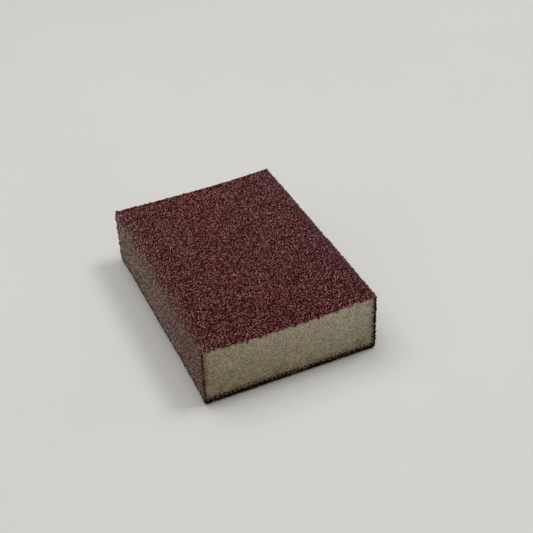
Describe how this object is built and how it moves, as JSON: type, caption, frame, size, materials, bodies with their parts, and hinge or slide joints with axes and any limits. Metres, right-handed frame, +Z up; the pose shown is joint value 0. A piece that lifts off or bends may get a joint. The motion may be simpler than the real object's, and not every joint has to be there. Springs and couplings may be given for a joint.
{
  "type": "sanding block",
  "caption": "Flexible foam sanding block with coarse abrasive on both broad faces and both long sides, and bare foam ends.",
  "frame": {"origin": "centre of the coated face that the block lies on, on the surface it rests on", "axes": "+X to the block's right across its width, +Y along its length from the front bare end to the back one, +Z up out of the top coated face"},
  "size_m": [0.071, 0.1, 0.0256],
  "materials": {
    "foam": "matte",
    "bond_resin": "satin",
    "face_grit": "matte",
    "side_grit": "matte"
  },
  "bodies": {
    "root": {"foam_core": "foam", "top_bond_coat": "bond_resin", "bottom_bond_coat": "bond_resin", "left_bond_coat": "bond_resin", "right_bond_coat": "bond_resin", "top_grit_coat": "face_grit", "bottom_grit_coat": "face_grit", "left_grit_coat": "side_grit", "right_grit_coat": "side_grit"}
  },
  "joints": []
}
